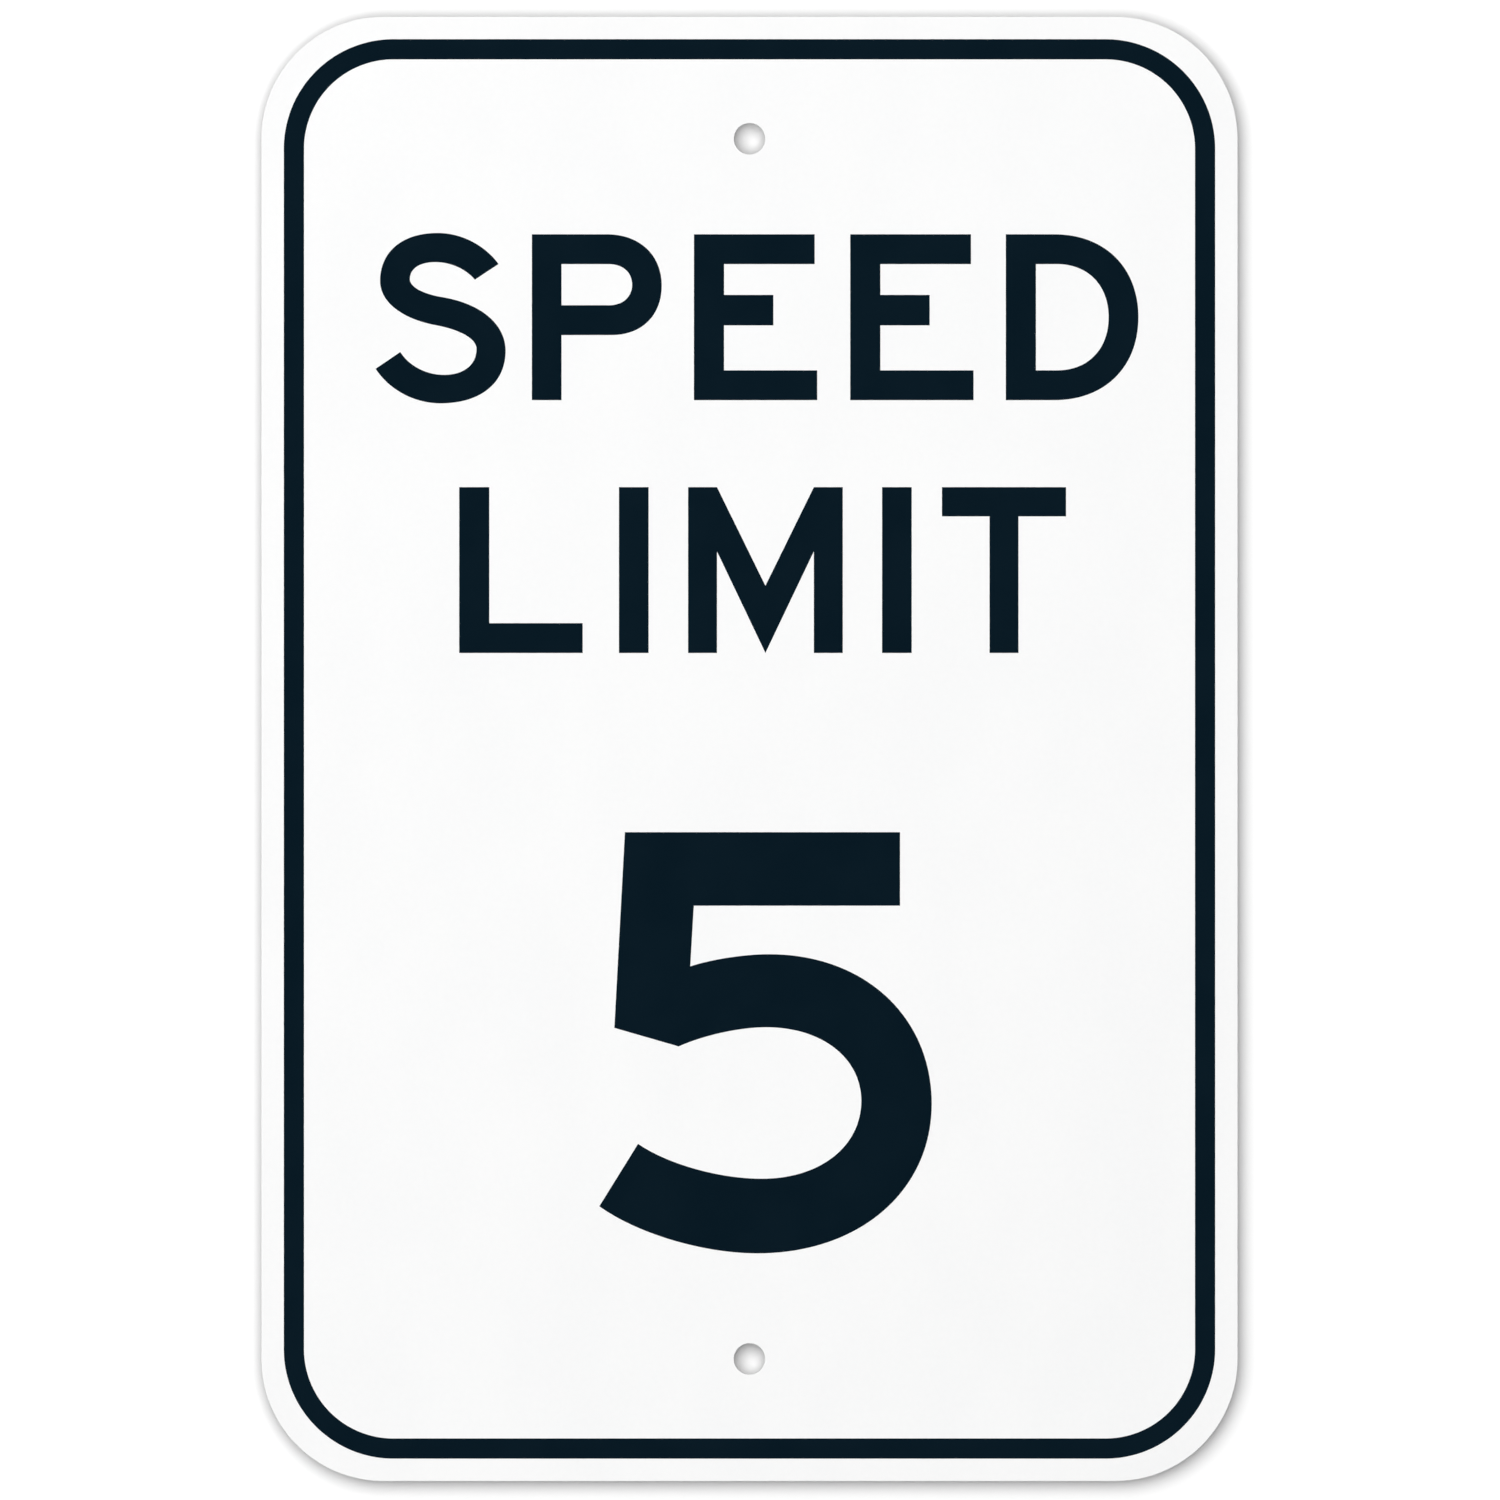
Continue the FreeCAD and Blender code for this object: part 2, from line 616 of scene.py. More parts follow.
def circle(centre_x: float, centre_z: float, radius: float, steps: int = 96) -> np.ndarray:
    """A clockwise circle: its centre plus the radius times (cos a, -sin a), while a goes once round."""
    angles = np.arange(steps) * 2 * math.pi / steps
    return np.stack([centre_x + radius * np.cos(angles), centre_z - radius * np.sin(angles)], axis=-1)


# Flat solids, whose walls are a profile carried along outlines


def inward(loop: np.ndarray) -> np.ndarray:
    """For each point of a closed outline, the move that brings both its runs 1 further in, to their left.

    It is the sum of the runs' two left normals over 1 plus their product, so corners stay mitred.

    Args:
        loop: the points, one in each row.

    Returns:
        The moves, one in each row.
    """
    runs = np.roll(loop, -1, axis=0) - loop
    runs /= np.linalg.norm(runs, axis=1, keepdims=True)
    left = np.stack([-runs[:, 1], runs[:, 0]], axis=-1)
    before = np.roll(left, 1, axis=0)
    return (left + before) / (1.0 + np.sum(left * before, axis=1, keepdims=True))


def quarter_round(radius: float, edge_y: float, face_y: float, steps: int = 5) -> np.ndarray:
    """The rounded edge between a side wall and a flat face.

    A row is the radius times (1 - cos a) in, and its depth goes with sin a, while a goes through a quarter
    turn.

    Args:
        radius: the rounding's radius.
        edge_y: the depth at which the wall ends.
        face_y: the depth of the flat face.
        steps: how many parts it is divided into.

    Returns:
        Rows of (how far in, depth), from the wall to the face.
    """
    a = np.linspace(0.0, math.pi / 2, steps + 1)
    return np.stack([radius * (1 - np.cos(a)), edge_y + (face_y - edge_y) * np.sin(a)], axis=-1)


def carried(
    loops: list[np.ndarray], profiles: list[np.ndarray]
) -> tuple[np.ndarray, list[np.ndarray], np.ndarray]:
    """The walls of a flat solid: each outline's profile carried along it.

    A wall's point is the outline's point plus its inward move times the profile's first number, at the depth
    of the profile's second number.

    Args:
        loops: the outlines.
        profiles: for each outline, rows of (how far in, depth) from the back face to the front face.

    Returns:
        The vertices; for each outline its grid of vertex numbers, a row for each row of the profile; and the
        walls' four-cornered faces, which point outwards.
    """
    vertices, grids, faces = [], [], []
    count = 0
    for loop, profile in zip(loops, profiles):
        plan = loop[None] + profile[:, :1, None] * inward(loop)[None]
        depth = np.broadcast_to(profile[:, 1:], plan.shape[:2])
        vertices.append(np.stack([plan[..., 0], depth, plan[..., 1]], axis=-1).reshape(-1, 3))
        grid = count + np.arange(depth.size).reshape(depth.shape)
        following = np.roll(grid, -1, axis=1)
        faces.append(np.stack([grid[:-1], following[:-1], following[1:], grid[1:]], axis=-1).reshape(-1, 4))
        grids.append(grid)
        count += depth.size
    return np.vstack(vertices), grids, np.vstack(faces)


def filled(vertices: np.ndarray, rings: list[np.ndarray]) -> np.ndarray:
    """The triangles that fill a flat face between its rings, anticlockwise as they are seen from the front.

    They are the Delaunay triangles between the rings' runs that lie in the outside ring and in no opening.

    Args:
        vertices: all the solid's vertices.
        rings: the vertex numbers round the face, first its outside and then its openings.

    Returns:
        The triangles, as vertex numbers.
    """
    numbers = np.concatenate(rings)
    spots = vertices[numbers][:, [0, 2]] / MM
    outside, *openings = np.split(np.arange(len(numbers)), np.cumsum([len(ring) for ring in rings])[:-1])
    areas = [outside] + [opening[::-1] for opening in openings]
    _, _, triangles, sources, _, owners = delaunay_2d_cdt(spots, [], areas, 0, NEAREST_MM, True)
    inside = [triangle for triangle, owner in zip(triangles, owners) if owner == [0]]
    return numbers[np.array(sources)[np.array(inside), 0]]


def flat_solid(
    name: str,
    loops: list[np.ndarray],
    profiles: list[np.ndarray],
    materials: list[bpy.types.Material],
    wall_material: int = 0,
    wall_rows: slice = slice(0, 0),
) -> bpy.types.Object:
    """A closed flat solid with walls along its outlines and a flat face on each side.

    Args:
        name: the piece's name.
        loops: the outlines, first the outside and then the openings.
        profiles: as for carried.
        materials: the piece's materials. The first is on all but the walls that wall_rows names.
        wall_material: which material those walls have.
        wall_rows: which rows of the profile's faces they are.

    Returns:
        The piece, with its object at the origin.
    """
    vertices, grids, walls = carried(loops, profiles)
    back = filled(vertices, [grid[0] for grid in grids])[:, ::-1]
    front = filled(vertices, [grid[-1] for grid in grids])
    corners = np.concatenate([walls.ravel(), back.ravel(), front.ravel()])
    sizes = np.repeat([4, 3], [len(walls), len(back) + len(front)])
    row_numbers = [np.repeat(np.arange(len(grid) - 1), grid.shape[1]) for grid in grids]
    chosen = np.isin(np.concatenate(row_numbers), np.arange(len(profiles[0]) - 1)[wall_rows])
    material_numbers = np.zeros(len(sizes), dtype=np.int32)
    material_numbers[: len(walls)][chosen] = wall_material

    mesh = bpy.data.meshes.new(name)
    mesh.vertices.add(len(vertices))
    mesh.vertices.foreach_set("co", vertices.ravel())
    mesh.loops.add(len(corners))
    mesh.loops.foreach_set("vertex_index", corners)
    mesh.polygons.add(len(sizes))
    mesh.polygons.foreach_set("loop_start", np.cumsum(sizes) - sizes)
    mesh.polygons.foreach_set("material_index", material_numbers)
    mesh.update(calc_edges=True)
    if mesh.validate():
        raise ValueError(f"{name} has faces that Blender had to mend")
    mesh.set_sharp_from_angle(angle=math.radians(SHARP_DEG))
    mesh.polygons.foreach_set("use_smooth", np.arange(len(sizes)) < len(walls))
    for material in materials:
        mesh.materials.append(material)
    piece = bpy.data.objects.new(name, mesh)
    bpy.context.scene.collection.objects.link(piece)
    return piece


# The sign's sub-assemblies


def put_on_sign(piece: bpy.types.Object) -> None:
    """Makes a piece ride on the sign's body."""
    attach(piece, BODY)


def bolt_holes() -> list[Triple]:
    """The middle's x and z and the radius of each bolt hole, from the record's bores."""
    bores = [mount for mount in frame["record"]["mounts"] if mount["kind"] == "bore"]
    return [(bore["pos_m"][0], bore["pos_m"][2], bore["dims"]["r_mm"] * MM) for bore in bores]


@dataclass
class Layer:
    """A flat layer of the sign, which stands where one CAD node stands."""

    node: str
    corner_radius: float

    def back_y(self) -> float:
        """The depth of the layer's back face."""
        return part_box(self.node)[1][1]

    def front_y(self) -> float:
        """The depth of the layer's front face."""
        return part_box(self.node)[0][1]

    def outline(self, inset: float = 0.0) -> np.ndarray:
        """The node's outline moved in by the inset, with its corners round the same centres.

        Args:
            inset: how far in it is.

        Returns:
            The points, one in each row.
        """
        low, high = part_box(self.node)
        size = Vector(high) - Vector(low)
        return rounded_rectangle(size.x - 2 * inset, size.z - 2 * inset, self.corner_radius - inset)


@dataclass
class Blank(Layer):
    """The punched aluminium blank."""

    node: str = "blank"
    corner_radius: float = PLATE_CORNER
    edge_roll: float = 0.25 * MM
    hole_roll: float = 0.20 * MM

    def profile(self, roll: float) -> np.ndarray:
        """The edge from the back face, over the edge that the punch rolled, down to the front face."""
        rolled = quarter_round(roll, self.back_y() - roll, self.back_y())[::-1]
        return np.vstack([rolled, [[0.0, self.front_y()]]])

    def build(self) -> bpy.types.Object:
        """Builds the blank in the place of its node. The walls under the roll have the cut edge's finish.

        Returns:
            The piece.
        """
        loops = [self.outline()]
        profiles = [self.profile(self.edge_roll)]
        for x, z, radius in bolt_holes():
            loops.append(circle(x, z, radius))
            profiles.append(self.profile(self.hole_roll))
        finishes = [MillAluminium().material(), PunchedEdge().material()]
        last_row = slice(-1, None)
        piece = flat_solid("sheet_blank", loops, profiles, finishes, wall_material=1, wall_rows=last_row)
        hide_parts(self.node)
        put_on_sign(piece)
        return piece


@dataclass
class FilmLayer(Layer):
    """A layer of film, whose cut edge is a little round at the top."""

    cut_round: float
    cut_steps: int = 4

    def profile(self) -> np.ndarray:
        """The cut edge.

        Returns:
            Rows of (how far in, depth), from the back face to the front face.
        """
        front_y = self.front_y()
        top = quarter_round(self.cut_round, front_y + self.cut_round, front_y, self.cut_steps)
        return np.vstack([[[0.0, self.back_y()]], top])


@dataclass
class FaceSheeting(FilmLayer):
    """The white film over the whole face, open at the bolt holes."""

    node: str = "face_sheeting"
    corner_radius: float = PLATE_CORNER
    cut_round: float = 0.06 * MM

    def build(self) -> bpy.types.Object:
        """Builds the sheeting in the place of its node.

        Returns:
            The piece.
        """
        loops = [self.outline()] + [circle(x, z, radius) for x, z, radius in bolt_holes()]
        piece = flat_solid("white_face", loops, [self.profile()] * len(loops), [WhiteSheeting().material()])
        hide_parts(self.node)
        put_on_sign(piece)
        return piece


@dataclass
class BorderBand(FilmLayer):
    """The dark band parallel to the sign's edges."""

    node: str = "border_band"
    corner_radius: float = 34.2 * MM
    cut_round: float = 0.03 * MM
    width: float = 6.3 * MM

    def build(self, film: bpy.types.Material) -> bpy.types.Object:
        """Builds the band in the place of its node.

        Args:
            film: its material.

        Returns:
            The piece.
        """
        loops = [self.outline(), self.outline(self.width)[::-1]]
        piece = flat_solid("dark_band", loops, [self.profile()] * 2, [film])
        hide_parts(self.node)
        put_on_sign(piece)
        return piece


# The characters, each in millimetres from the left end of its base line


@dataclass(frozen=True)
class Character:
    """A character of the legend: its height, the width of its upright and the width of its level strokes."""

    height: float = 51.78
    stem: float = 9.4
    bar: float = 9.3

    def loops(self) -> list[np.ndarray]:
        """The outlines, first the outside and then the openings."""
        raise NotImplementedError


@dataclass(frozen=True)
class LetterS(Character):
    """S: two open bowls, one over the other, joined by a slanting spine."""

    fullness: float = 0.614

    def loops(self) -> list[np.ndarray]:
        """The outline: down the left of the upper bowl, under the spine, and back up on the right.

        Returns:
            The outside alone.
        """
        knots = [
            into_round(38.4, 42.5, 126.0),
            smooth(19.4, 52.2, WEST),
            smooth(1.4, 37.15, SOUTH),
            smooth(18.8, 23.4, -10.7),
            smooth(31.5, 16.05, SOUTH),
            smooth(21.3, 7.9, WEST),
            out_of_round(7.7, 15.05, 123.0),
            into_round(0.0, 9.8, -57.0),
            smooth(20.3, -1.0, EAST),
            smooth(40.6, 15.4, NORTH),
            smooth(20.9, 32.15, 170.5),
            smooth(10.7, 37.8, NORTH),
            smooth(18.6, 43.1, EAST),
            out_of_round(31.0, 37.6, -50.4),
        ]
        return [loop_points(knots, self.fullness)]


@dataclass(frozen=True)
class LetterP(Character):
    """P: an upright with a closed bowl at its top, whose right end lies a little under its middle."""

    stem: float = 9.25
    width: float = 40.54
    bowl_height: float = 31.45
    bowl_drop: float = 0.35
    top_straight: float = 23.4
    foot_straight: float = 25.0
    opening_straight: float = 24.0

    def loops(self) -> list[np.ndarray]:
        """The outlines, from the foot and from the bowl's lower left.

        Returns:
            The outside and the bowl's opening.
        """
        bowl_foot = self.height - self.bowl_height
        middle = self.height - self.bowl_height / 2
        outside = [
            corner(0.0, 0.0),
            corner(self.stem, 0.0),
            corner(self.stem, bowl_foot),
            into_round(self.foot_straight, bowl_foot, EAST),
            smooth(self.width, middle - self.bowl_drop, NORTH),
            out_of_round(self.top_straight, self.height, WEST),
            corner(0.0, self.height),
        ]
        opening = [
            corner(self.stem, bowl_foot + self.bar),
            corner(self.stem, self.height - self.bar),
            into_round(self.opening_straight, self.height - self.bar, EAST),
            smooth(self.width - self.stem, middle, SOUTH),
            out_of_round(self.opening_straight, bowl_foot + self.bar, WEST),
        ]
        return [loop_points(outside), loop_points(opening)]


@dataclass(frozen=True)
class LetterD(Character):
    """D: an upright closed by one wide bowl."""

    width: float = 41.4
    straight: float = 15.2
    opening_straight: float = 16.0

    def loops(self) -> list[np.ndarray]:
        """The outlines, from the foot and from the opening's lower left.

        Returns:
            The outside and the opening.
        """
        middle = self.height / 2
        outside = [
            corner(0.0, 0.0),
            into_round(self.straight, 0.0, EAST),
            smooth(self.width, middle, NORTH),
            out_of_round(self.straight, self.height, WEST),
            corner(0.0, self.height),
        ]
        opening = [
            corner(self.stem, self.bar),
            corner(self.stem, self.height - self.bar),
            into_round(self.opening_straight, self.height - self.bar, EAST),
            smooth(self.width - self.bar, middle, SOUTH),
            out_of_round(self.opening_straight, self.bar, WEST),
        ]
        return [loop_points(outside), loop_points(opening)]


@dataclass(frozen=True)
class FigureFive(Character):
    """5: a flag on a leaning upright, and one open bowl."""

    height: float = 129.1
    bar: float = 22.95
    fullness: float = 0.584

    def loops(self) -> list[np.ndarray]:
        """The outline, anticlockwise from the flag's right end.

        Returns:
            The outside alone.
        """
        under_flag = self.height - self.bar
        knots = [
            corner(93.9, under_flag),
            corner(93.9, self.height),
            corner(8.0, self.height),
            corner(4.7, 68.0),
            into_round(24.8, 62.2, 24.4),
            smooth(52.1, 68.2, EAST),
            smooth(81.8, 45.2, SOUTH),
            smooth(50.8, 20.9, WEST),
            out_of_round(12.1, 31.8, 145.6),
            into_round(0.0, 12.3, -35.7),
            smooth(49.4, -2.4, EAST),
            smooth(103.8, 44.3, NORTH),
            smooth(53.1, 91.0, WEST),
            out_of_round(28.4, 87.2, 198.5),
            corner(29.5, under_flag),
        ]
        return [loop_points(knots, self.fullness)]


@dataclass(frozen=True)
class StraightLetter(Character):
    """A letter with straight runs only, which has no opening."""

    def corners(self) -> list[Pair]:
        """The places (x, z) of the corners, anticlockwise from the lower left."""
        raise NotImplementedError

    def loops(self) -> list[np.ndarray]:
        """The outside alone."""
        return [np.array(self.corners())]


@dataclass(frozen=True)
class LetterE(StraightLetter):
    """E: an upright with three arms, the lowest the longest."""

    top_arm: float = 37.7
    middle_arm: float = 24.8
    foot_arm: float = 38.5
    middle_rise: float = 23.35
    middle_bar: float = 9.5

    def corners(self) -> list[Pair]:
        """The corners of the foot, of the middle arm and of the top arm.

        Returns:
            Their places, anticlockwise.
        """
        middle_top = self.middle_rise + self.middle_bar
        under_top = self.height - self.bar
        foot = [(0.0, 0.0), (self.foot_arm, 0.0), (self.foot_arm, self.bar), (self.stem, self.bar)]
        middle_foot = [(self.stem, self.middle_rise), (self.middle_arm, self.middle_rise)]
        middle_head = [(self.middle_arm, middle_top), (self.stem, middle_top)]
        top_foot = [(self.stem, under_top), (self.top_arm, under_top)]
        top_head = [(self.top_arm, self.height), (0.0, self.height)]
        return foot + middle_foot + middle_head + top_foot + top_head


@dataclass(frozen=True)
class LetterL(StraightLetter):
    """L: an upright with a foot."""

    foot_arm: float = 38.55

    def corners(self) -> list[Pair]:
        """The corners of the foot and of the upright's top."""
        foot = [(0.0, 0.0), (self.foot_arm, 0.0), (self.foot_arm, self.bar), (self.stem, self.bar)]
        return foot + [(self.stem, self.height), (0.0, self.height)]


@dataclass(frozen=True)
class LetterI(StraightLetter):
    """I: an upright alone."""

    stem: float = 9.25

    def corners(self) -> list[Pair]:
        """The upright's corners."""
        return [(0.0, 0.0), (self.stem, 0.0), (self.stem, self.height), (0.0, self.height)]


@dataclass(frozen=True)
class LetterM(StraightLetter):
    """M: two uprights and a V between them that reaches the base line."""

    stem: float = 9.03
    width: float = 48.3
    valley: float = 21.0
    notch: float = 31.7

    def corners(self) -> list[Pair]:
        """The corners of the two feet with the V's point between them, and then of the top.

        Returns:
            Their places, anticlockwise.
        """
        middle = self.width / 2
        right = self.width - self.stem
        left_foot = [(0.0, 0.0), (self.stem, 0.0), (self.stem, self.notch)]
        right_foot = [(right, self.notch), (right, 0.0), (self.width, 0.0)]
        right_top = [(self.width, self.height), (right, self.height)]
        left_top = [(self.stem, self.height), (0.0, self.height)]
        return [*left_foot, (middle, 0.0), *right_foot, *right_top, (middle, self.valley), *left_top]


@dataclass(frozen=True)
class LetterT(StraightLetter):
    """T: an arm across the top of an upright."""

    stem: float = 9.03
    bar: float = 9.13
    width: float = 38.75

    def corners(self) -> list[Pair]:
        """The corners of the upright's foot and of the arm.

        Returns:
            Their places, anticlockwise.
        """
        left = (self.width - self.stem) / 2
        right = left + self.stem
        arm_foot = self.height - self.bar
        foot = [(left, 0.0), (right, 0.0), (right, arm_foot)]
        arm = [(self.width, arm_foot), (self.width, self.height), (0.0, self.height), (0.0, arm_foot)]
        return foot + arm + [(left, arm_foot)]


@dataclass
class Legend:
    """The words and the figure, cut from the dark film. Their places are from the sign's middle."""

    upper_base_mm: float = 108.9
    lower_base_mm: float = 29.96
    figure_base_mm: float = -155.1

    def characters(self) -> list[tuple[str, Character, float, float]]:
        """Lists the characters.

        Returns:
            The name, the character and the place (left end, base line) of each, in millimetres.
        """
        upper, lower = self.upper_base_mm, self.lower_base_mm
        return [
            ("upper_1_s", LetterS(), -116.75, upper),
            ("upper_2_p", LetterP(), -67.95, upper),
            ("upper_3_e", LetterE(), -17.35, upper),
            ("upper_4_e", LetterE(), 31.45, upper),
            ("upper_5_d", LetterD(), 80.03, upper),
            ("lower_1_l", LetterL(), -90.64, lower),
            ("lower_2_i", LetterI(), -40.76, lower),
            ("lower_3_m", LetterM(), -19.18, lower),
            ("lower_4_i", LetterI(), 41.39, lower),
            ("lower_5_t", LetterT(), 60.09, lower),
            ("figure_5", FigureFive(), -46.9, self.figure_base_mm),
        ]

    def build(self, film: bpy.types.Material) -> list[bpy.types.Object]:
        """Builds every character on the face sheeting, as thick as the border band and cut as it is.

        Args:
            film: their material.

        Returns:
            The pieces.
        """
        profile = BorderBand().profile()
        pieces = []
        for name, character, left, base in self.characters():
            loops = [(loop + [left, base]) * MM for loop in character.loops()]
            piece = flat_solid(name, loops, [profile] * len(loops), [film])
            put_on_sign(piece)
            pieces.append(piece)
        return pieces


# The studio


@dataclass(frozen=True)
class FloorWhite:
    """The floor's white, which the camera alone sees, so it sends no light to the sign."""

    name: str = "floor_white"
    reflectance: float = 0.9
    own_glow: float = 0.7

    def seen(self, shader: Shader) -> Value:
        """1 for the rays that the white shows to."""
        return shader.value("ShaderNodeLightPath", output="Is Camera Ray")

    def glow(self, shader: Shader) -> Value | Triple:
        """How brightly it shines by itself, as a grey."""
        return (self.own_glow,) * 3

    def material(self) -> bpy.types.Material:
        """Builds the finish.

        Returns:
            The material.
        """
        material, shader = new_material(self.name)
        lit = shader.value("ShaderNodeBsdfDiffuse", sockets={"Color": (self.reflectance,) * 3})
        glow = shader.value("ShaderNodeEmission", sockets={"Color": self.glow(shader), "Strength": 1.0})
        white = shader.value("ShaderNodeAddShader", sockets={0: lit, 1: glow})
        clear = shader.value("ShaderNodeBsdfTransparent")
        sockets = {0: self.seen(shader), 1: clear, 2: white}
        shader.finish(shader.value("ShaderNodeMixShader", sockets=sockets))
        return material


@dataclass(frozen=True)
class WallWhite(FloorWhite):
    """The wall's white, seen from its front alone. A faint glow keeps the sign's shadow on it from black."""

    name: str = "wall_white"
    reflectance: float = 1.06
    under_glow: float = 0.2
    fade: float = 4.0 * MM
    far_glow: float = 0.4
    far_start: float = 5.0 * MM
    far_end: float = 60.0 * MM
    corner_radius: float = PLATE_CORNER

    def seen(self, shader: Shader) -> Value:
        """1 for camera rays that meet the wall's front."""
        return super().seen(shader) * (1.0 - shader.value("ShaderNodeNewGeometry", output="Backfacing"))

    def glow(self, shader: Shader) -> Value:
        """The glow under the sign, none near its outline and its bolt holes, and the glow far outside it.

        With p how far a point is beyond the corners' centres along X and q along Z, its depth inside the
        outline is the corner radius, less the root of the sum of the squares of p and q where they are above
        0, less the greater of the two where both are below 0.

        Args:
            shader: the shader that it belongs to.

        Returns:
            The glow.
        """
        x, _, z = shader.axes(shader.value("ShaderNodeTexCoord", output="Object"))
        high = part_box("blank")[1]
        p = abs(x) - (high[0] - self.corner_radius)
        q = abs(z) - (high[2] - self.corner_radius)
        out_p, out_q = p.higher_of(0.0), q.higher_of(0.0)
        depth = self.corner_radius - (out_p * out_p + out_q * out_q).root() - p.higher_of(q).lower_of(0.0)
        _, rise, radius = bolt_holes()[0]
        up = abs(z) - abs(rise)
        beyond_hole = (x * x + up * up).root().step(radius, radius + self.fade)
        under = depth.step(0.0, self.fade) * beyond_hole * self.under_glow
        return under + (-depth).step(self.far_start, self.far_end) * self.far_glow


@dataclass
class Studio:
    """The camera in front of the sign, the wall close behind it, the floor below, the lamps and the world.

    The aim is the middle of the photograph's frame on the sign. A level is the brightness that a lamp gives
    to a white surface that faces it. The dark front is what gloss mirrors of the room behind the camera, and
    the ranges say where the world turns from one brightness to another.
    """

    frame_width: float = 468.35 * MM
    aim_x: float = 0.16 * MM
    aim_z: float = -0.34 * MM
    lens_mm: float = 1200.0
    sensor_mm: float = 36.0
    clip_start: float = 0.1
    clip_reach: float = 4.0
    wall_gap: float = 4.2 * MM
    wall_side: float = 1.3
    floor_drop: float = 0.42
    floor_side: float = 9.0
    key_level: float = 1.04
    key_distance: float = 2.8
    key_radius: float = 2.3
    key_travel: Triple = (0.15, 1.0, -0.15)
    edge_level: float = 0.7
    edge_angle_deg: float = 50.0
    edge_travels: tuple[Triple, ...] = ((0.8, -0.5, -0.5), (-0.8, -0.5, -0.5))
    fill: float = 0.01
    dark_front: float = 0.02
    front_range: Pair = (0.2, 0.8)
    low_mirrored: float = 0.78
    horizon_range: Pair = (-0.7, 0.4)

    def camera(self) -> None:
        """The camera, straight in front and so far off that its frame shows what the photograph's does."""
        data = bpy.data.cameras.new("camera")
        data.lens = self.lens_mm
        data.sensor_width = self.sensor_mm
        distance = self.frame_width * self.lens_mm / self.sensor_mm
        data.clip_start = self.clip_start
        data.clip_end = self.clip_reach * distance
        camera = bpy.data.objects.new("camera", data)
        camera.location = (self.aim_x, CAD_BOX[0][1] - distance, self.aim_z)
        camera.rotation_euler = (math.pi / 2, 0.0, 0.0)
        bpy.context.scene.collection.objects.link(camera)
        bpy.context.scene.camera = camera

    def plane(self, name: str, corners: np.ndarray, white: FloorWhite) -> None:
        """A flat square of the stage.

        Args:
            name: its name.
            corners: its corners, anticlockwise as its lit side is seen.
            white: its finish.
        """
        mesh = bpy.data.meshes.new(name)
        mesh.from_pydata(corners.tolist(), [], [(0, 1, 2, 3)])
        mesh.materials.append(white.material())
        piece = bpy.data.objects.new(name, mesh)
        bpy.context.scene.collection.objects.link(piece)

    def stage(self) -> None:
        """The wall behind the sign, which shows from the front alone, and the floor."""
        square = np.array([[-1, -1], [1, -1], [1, 1], [-1, 1]]) / 2
        wall_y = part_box("blank")[1][1] + self.wall_gap
        self.plane("wall", np.insert(square * self.wall_side, 1, wall_y, axis=1), WallWhite())
        floor_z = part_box("blank")[0][2] - self.floor_drop
        self.plane("floor", np.insert(square * self.floor_side, 2, floor_z, axis=1), FloorWhite())

    def aim(self, name: str, data: bpy.types.Light, travel: Triple) -> None:
        """Puts up a lamp that shines at the sign from the key's distance, and that gloss doesn't mirror.

        Args:
            name: its name.
            data: the light.
            travel: the way in which its light goes.
        """
        lamp = bpy.data.objects.new(name, data)
        way = Vector(travel).normalized()
        lamp.location = -way * self.key_distance
        lamp.rotation_mode = "QUATERNION"
        lamp.rotation_quaternion = way.to_track_quat("-Z", "Y")
        lamp.visible_glossy = False
        lamp.visible_camera = False
        bpy.context.scene.collection.objects.link(lamp)

    def key(self) -> None:
        """A large round softbox in front of the sign, a little to the upper left.

        Its power is its level times pi squared times the sum of the squares of its distance and its radius,
        which lights a white surface at the sign's place to that level.
        """
        data = bpy.data.lights.new("key", "AREA")
        data.shape = "DISK"
        data.size = 2 * self.key_radius
        data.energy = self.key_level * math.pi**2 * (self.key_distance**2 + self.key_radius**2)
        self.aim("key", data, self.key_travel)

    def edge_lamps(self) -> None:
        """Two soft lamps behind the sign, for its edges, which miss its face and the wall's front."""
        for number, travel in enumerate(self.edge_travels, 1):
            data = bpy.data.lights.new(f"edge_{number}", "SUN")
            data.energy = self.edge_level * math.pi
            data.angle = math.radians(self.edge_angle_deg)
            self.aim(f"edge_{number}", data, travel)

    def world(self) -> None:
        """White to the camera and in gloss, but for a dark patch behind the camera, and a low even fill.

        What gloss mirrors after a matt surface has sent the light on gets the fill alone.
        """
        world = bpy.data.worlds.new("studio")
        bpy.context.scene.world = world
        shader = Shader(world)
        _, backward, height = shader.axes(shader.value("ShaderNodeTexCoord", output="Generated"))
        patch = (-backward).step(*self.front_range, 1.0, self.dark_front)
        mirrored = patch * height.step(*self.horizon_range, self.low_mirrored, 1.0)
        path = shader.add("ShaderNodeLightPath")
        direct = (1.0 - Value(shader, path.outputs["Diffuse Depth"])).higher_of(0.0)
        glossy = Value(shader, path.outputs["Is Glossy Ray"]) * direct
        through = Value(shader, path.outputs["Is Transmission Ray"])
        seen = Value(shader, path.outputs["Is Camera Ray"]).higher_of(through)
        sockets = {
            "Color": (1.0, 1.0, 1.0),
            "Strength": seen.higher_of(glossy * mirrored + (1.0 - glossy) * self.fill),
        }
        shader.finish(shader.value("ShaderNodeBackground", sockets=sockets))

    def build(self) -> None:
        """Sets everything up."""
        self.camera()
        self.stage()
        self.key()
        self.edge_lamps()
        self.world()
        bpy.context.scene.view_settings.view_transform = "Standard"


def report(piece: bpy.types.Object) -> None:
    """Logs a piece's size and how many faces it has."""
    size = " x ".join(f"{side / MM:.2f}" for side in piece.dimensions)
    log.info("%s: %s mm, %d faces", piece.name, size, len(piece.data.polygons))


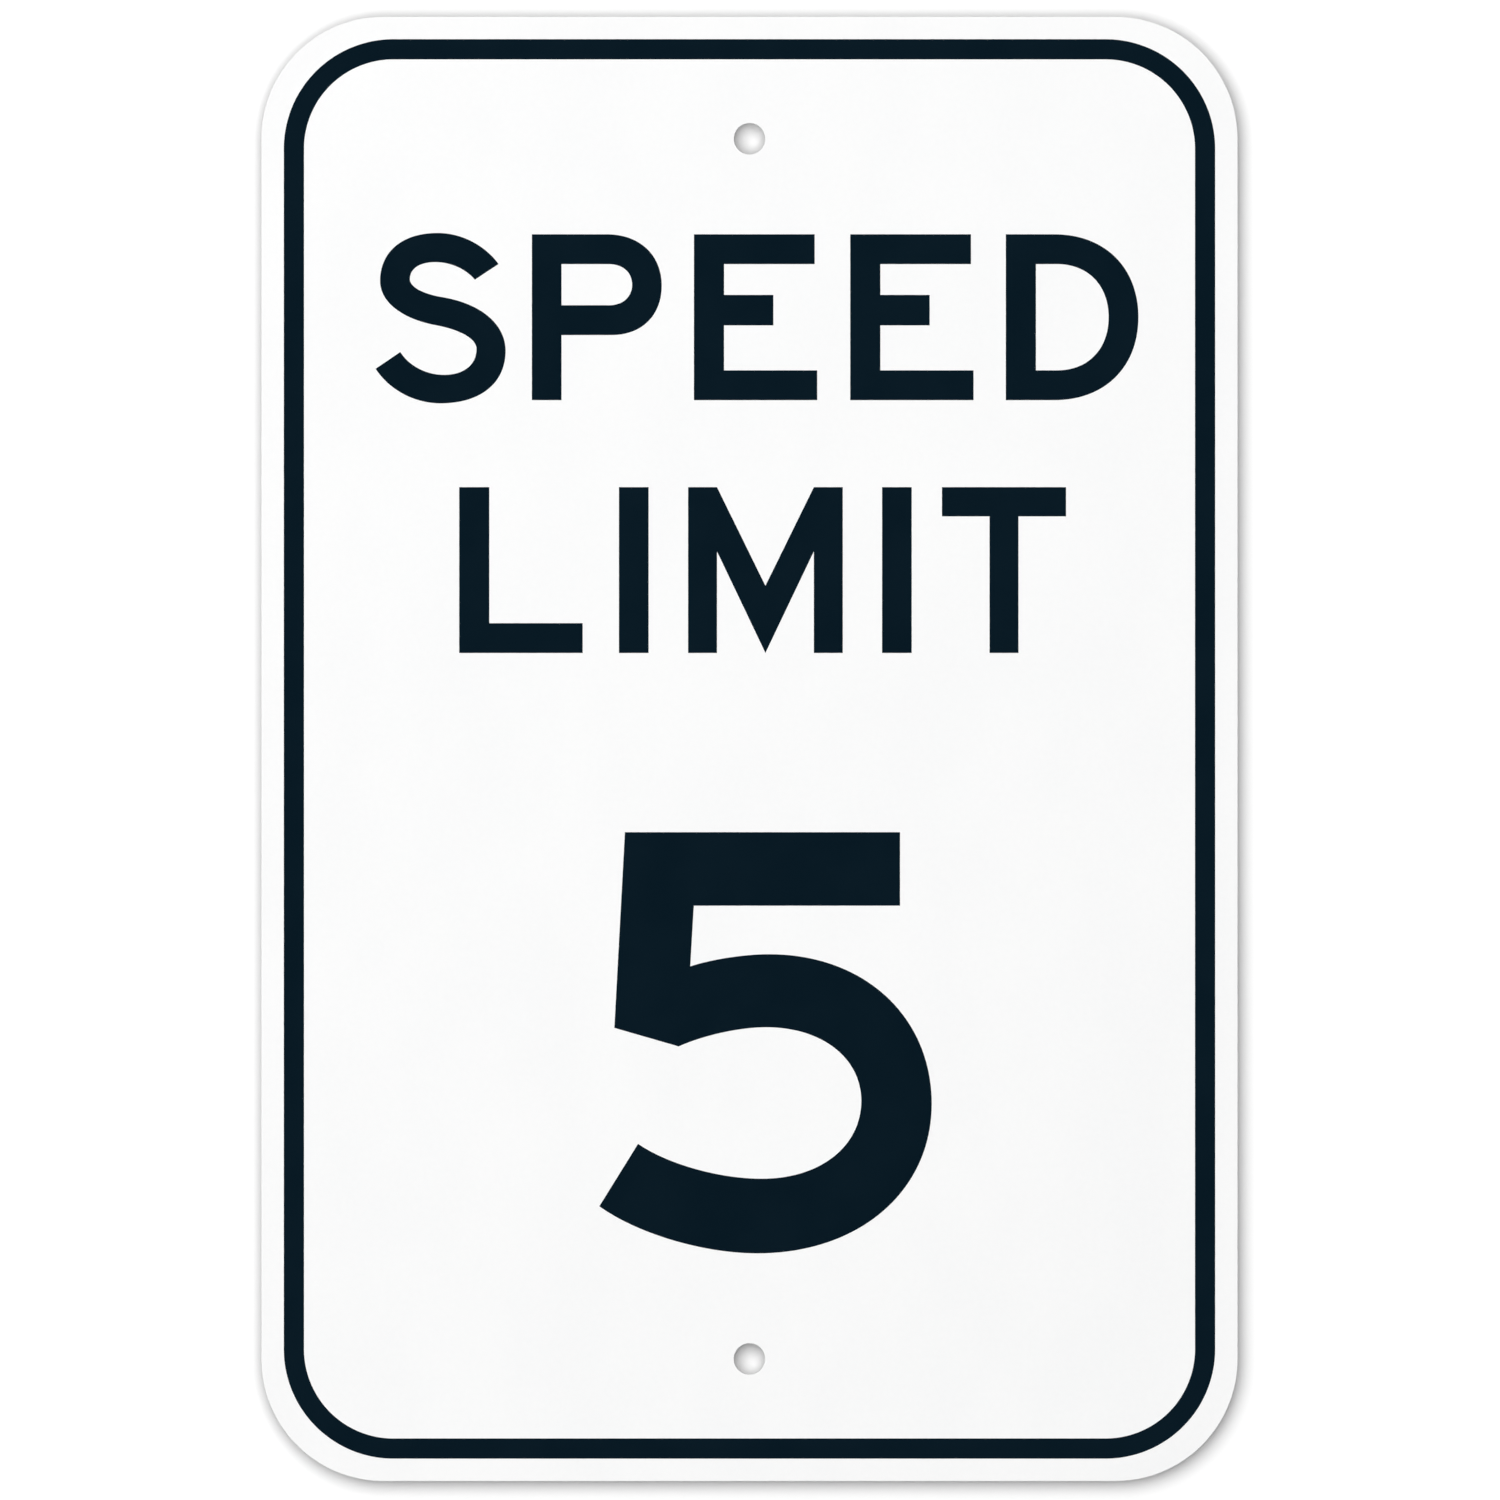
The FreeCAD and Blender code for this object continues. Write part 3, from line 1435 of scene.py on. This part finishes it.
def main() -> None:
    """Builds the studio and the sign, and reports each piece."""
    logging.basicConfig(level=logging.INFO, format="%(name)s: %(message)s")
    Studio().build()
    pieces = [Blank().build(), FaceSheeting().build()]
    film = DarkFilm().material()
    pieces += [BorderBand().build(film), *Legend().build(film)]
    for piece in pieces:
        report(piece)


if __name__ == "__main__":
    main()
